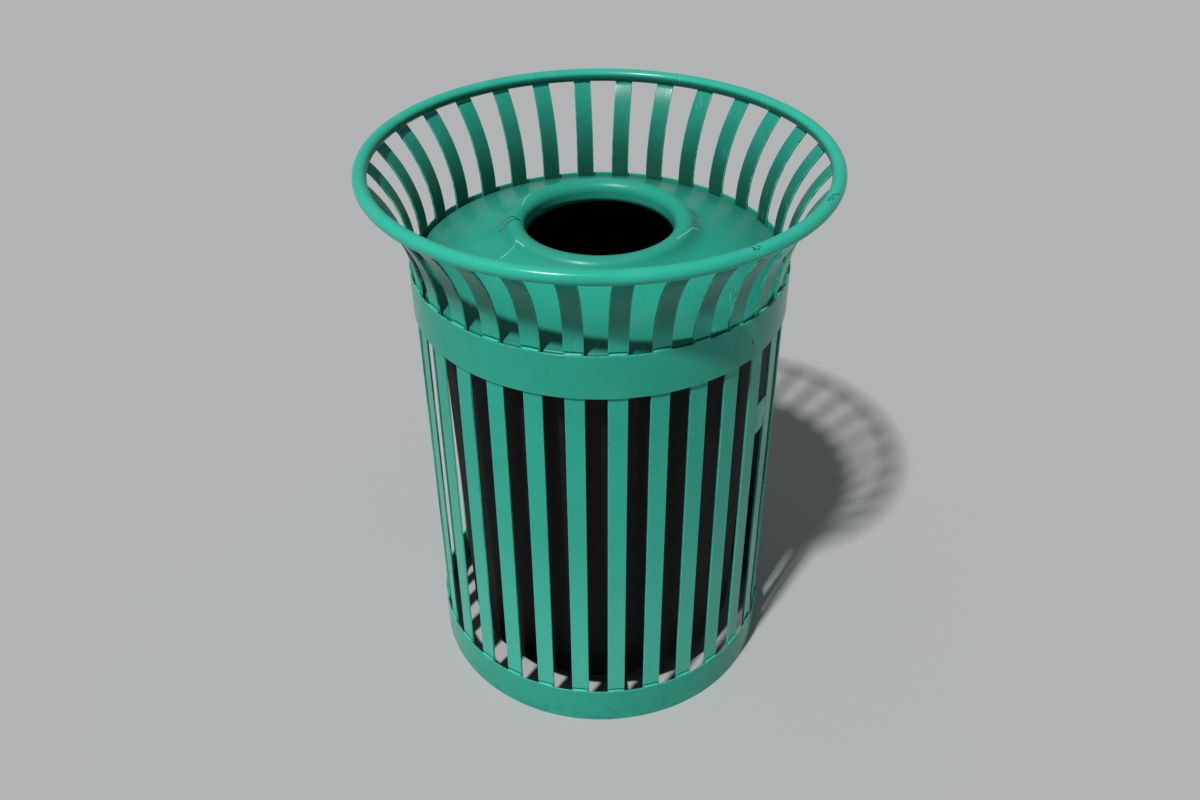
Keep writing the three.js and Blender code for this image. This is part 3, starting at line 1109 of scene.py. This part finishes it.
# Marks on the lid, each a chain of (radius in mm, direction in degrees)
LID_SQUIGGLES = (
    ((151.9, -173.2), (142.5, -171.8), (136.2, -171.7), (124, -174.3), (118, -173.2)),
    ((141, -179.3), (126.9, -176.9), (120, -174)),
)
LID_SCRATCHES = (
    ((166.5, -149.8), (139.9, -148.1)),
    ((139.8, -149.6), (139.7, -140.3)),
    ((134.4, -32.4), (137.2, -21.7), (140.5, -12.0), (146.7, -5.9)),
    ((124.2, 163.9), (128.5, 154), (132.2, 145)),
)
SQUIGGLE_WIDTH = 1.7 * MM
SQUIGGLE_WAVER = 2.5 * MM
LID_SCRATCH_WIDTH = 1.3 * MM
LID_SCRATCH_WAVER = 1 * MM


def lid_strokes():
    """The lid's marks seen from above, so that they follow the sheet whatever its height."""
    strokes = []
    kinds = (
        (LID_SQUIGGLES, SQUIGGLE_WIDTH, SQUIGGLE_WAVER, GRIME_AND_CREASE_SHADE),
        (LID_SCRATCHES, LID_SCRATCH_WIDTH, LID_SCRATCH_WAVER, SCRATCH),
    )
    for chains, width, waver, mark in kinds:
        for chain in chains:
            places = [polar(radius * MM, degrees, 0) for radius, degrees in chain]
            for begin, end in zip(places, places[1:]):
                strokes.append((begin, end, width, waver, mark))
    return strokes


def make_lid():
    outline = sheet_outline(lid_upper_face(), LID_SHEET)
    points, faces = turned(outline, LID_STEPS, lid_shape)
    piece = new_piece("lid_spun_sheet", points, faces, "lid", "green_paint", "lid")
    # painted shade towards the lid's edge
    paint = green_paint(
        "lid_paint",
        lid_strokes(),
        scuffed=0.35,
        tone=0.9,
        painted_light=lid_painted_shade,
        matt=0.1,
        flat=True,
    )
    piece.data.materials.append(paint)


# ---------------------------------------------------------------- liner

LINER_STEPS = 180
WALL_STEPS = 16
BEVEL_STEPS = 5
LIP_STEPS = 3
LIP_ROUND = 1.6 * MM
LINER_INNER_EDGE = 1 * MM
AXIS_GAP = 0.4 * MM  # radius of the small flat face that closes the floor at the axis
EVEN_FOOT = 20 * MM  # height of the part at the foot that stays true
EVEN_TOP = 12 * MM  # height of the part at the top that stays true
WALL_PULL = 0.7 * MM  # how far the rest of the wall pulls in at the most


def make_liner():
    bottom = LINER_LOW.z
    top = LINER_HIGH.z
    floor = bottom + LINER_WALL
    lip_edge = LINER_TOP + LINER_LIP
    foot_centre = (LINER_FOOT - LINER_BEVEL, bottom + LINER_BEVEL)
    outer_foot = arc(foot_centre, LINER_BEVEL, -math.pi / 2, 0, BEVEL_STEPS)
    wall = []
    for step in range(1, WALL_STEPS + 1):
        share = step / WALL_STEPS
        begin = outer_foot[-1]
        wall.append(
            (
                begin[0] + (LINER_TOP - begin[0]) * share,
                begin[1] + (top - LINER_LIP - begin[1]) * share,
            )
        )
    lip_low = (lip_edge - LIP_ROUND, top - LINER_LIP + LIP_ROUND)
    lip_high = (lip_edge - LIP_ROUND, top - LIP_ROUND)
    lip = arc(lip_low, LIP_ROUND, -math.pi / 2, 0, LIP_STEPS)
    lip += arc(lip_high, LIP_ROUND, 0, math.pi / 2, LIP_STEPS)
    inner = [
        (LINER_TOP - LINER_WALL + LINER_INNER_EDGE, top),
        (LINER_TOP - LINER_WALL, top - LINER_INNER_EDGE),
        (LINER_FOOT - LINER_WALL, floor + LINER_BEVEL),
    ]
    inner_centre = (LINER_FOOT - LINER_WALL - LINER_BEVEL, floor + LINER_BEVEL)
    inner += arc(inner_centre, LINER_BEVEL, 0, -math.pi / 2, BEVEL_STEPS)[1:]
    outline = [(AXIS_GAP, bottom), *outer_foot, *wall, *lip, *inner, (AXIS_GAP, floor)]
    first_inner = 1 + len(outer_foot) + len(wall) + len(lip)

    def moulded(radius, height, angle):
        """The wall pulls in a little between the floor and the lip."""
        if height < bottom + EVEN_FOOT or height > top - EVEN_TOP:
            return radius, height
        wave = wobble(angle, seed=5.0, scale=1.8, height=height * 3)
        return radius - WALL_PULL * (0.5 + 0.5 * wave), height

    points, faces = turned(outline, LINER_STEPS, moulded)
    columns = len(outline)
    keep = [face for face in faces if not {corner % columns for corner in face} == {0, columns - 1}]
    low_cap = tuple(step * columns for step in range(LINER_STEPS))
    high_cap = tuple(step * columns + columns - 1 for step in range(LINER_STEPS))
    keep += [tuple(reversed(low_cap)), high_cap]
    piece = new_piece("liner_tub", points, keep, "liner", "liner_plastic", "liner")
    # marks the inner faces, which get painted shade
    shaded_inside = [1.0 if index % columns >= first_inner else 0.0 for index in range(len(points))]
    piece.data.attributes.new("shaded_inside", "FLOAT", "POINT").data.foreach_set("value", shaded_inside)
    piece.data.materials.append(liner_plastic("liner_plastic_finish"))


# ---------------------------------------------------------------- floor and light

FLOOR_HALF = 14.0
FLOOR_COLOUR = colour(170, 171, 171)
FLOOR_ROUGHNESS = 0.8
SUN_HEADING = Vector((-0.53, -0.85, 0)).normalized()  # the light comes from here
SUN_ELEVATION = math.radians(58)
SUN_STRENGTH = 3.4
SUN_SIZE = math.radians(3.5)
FILL_COLOUR = (0.93, 0.96, 1.0, 1.0)
FILL_STRENGTH = 0.2


def make_floor():
    data = bpy.data.meshes.new("floor")
    half = FLOOR_HALF
    corners = [(-half, -half, 0), (half, -half, 0), (half, half, 0), (-half, half, 0)]
    data.from_pydata(corners, [], [(0, 1, 2, 3)])
    floor = bpy.data.objects.new("floor", data)
    bpy.context.scene.collection.objects.link(floor)
    finish = Finish("floor_finish")
    finish.shader.inputs["Base Color"].default_value = FLOOR_COLOUR
    finish.shader.inputs["Roughness"].default_value = FLOOR_ROUGHNESS
    data.materials.append(finish.material)


def make_light():
    data = bpy.data.lights.new("key", "SUN")
    data.energy = SUN_STRENGTH
    data.angle = SUN_SIZE
    key = bpy.data.objects.new("key", data)
    bpy.context.scene.collection.objects.link(key)
    towards = SUN_HEADING * math.cos(SUN_ELEVATION) + Vector((0, 0, math.sin(SUN_ELEVATION)))
    key.rotation_euler = towards.to_track_quat("Z", "Y").to_euler()
    world = bpy.data.worlds.new("studio")
    world.use_nodes = True
    sky = world.node_tree.nodes["Background"]
    sky.inputs["Color"].default_value = FILL_COLOUR
    sky.inputs["Strength"].default_value = FILL_STRENGTH
    bpy.context.scene.world = world
    bpy.context.scene.view_settings.view_transform = "Standard"


# ---------------------------------------------------------------- build

make_floor()
make_light()

steel_paint = green_paint("frame_paint", scuffed=0.45)
# painted bounce light low on the outer faces, painted shade on the inner faces, under the flare and above
# the welds
slat_paint = green_paint("slat_paint", scuffed=0.45, streaks=0.25, tone=1.1, painted_light=slat_painted_light)
# the beads carry a lighter copy of the paint: a painted highlight where they catch the light
highlit_weld_paint = green_paint("highlit_weld_paint", scuffed=0.2, tone=1.35)
CHIP_TOP = polar(BAND_RADIUS, -40.9, 710 * MM)  # one chip in the top band's paint
CHIP_FOOT = polar(BAND_RADIUS, -40.8, 705 * MM)
CHIP_WIDTH = 2.2 * MM
CHIP_WAVER = 2 * MM
chip_stroke = (CHIP_TOP, CHIP_FOOT, CHIP_WIDTH, CHIP_WAVER, GRIME_AND_CREASE_SHADE)
band_paint = green_paint("band_paint", [chip_stroke], scuffed=0.3)

make_rim()
make_band("base_band_strip", BASE_LOW, BASE_HIGH, "base_band", band_paint)
make_band("top_band_strip", TOP_LOW, TOP_HIGH, "top_band", band_paint)
for slat_index in range(len(SLATS)):
    make_slat(slat_index, slat_paint)
make_welds(highlit_weld_paint)
make_support_ring(steel_paint)
make_spider(steel_paint)
make_plate(steel_paint)
make_lid()
make_liner()
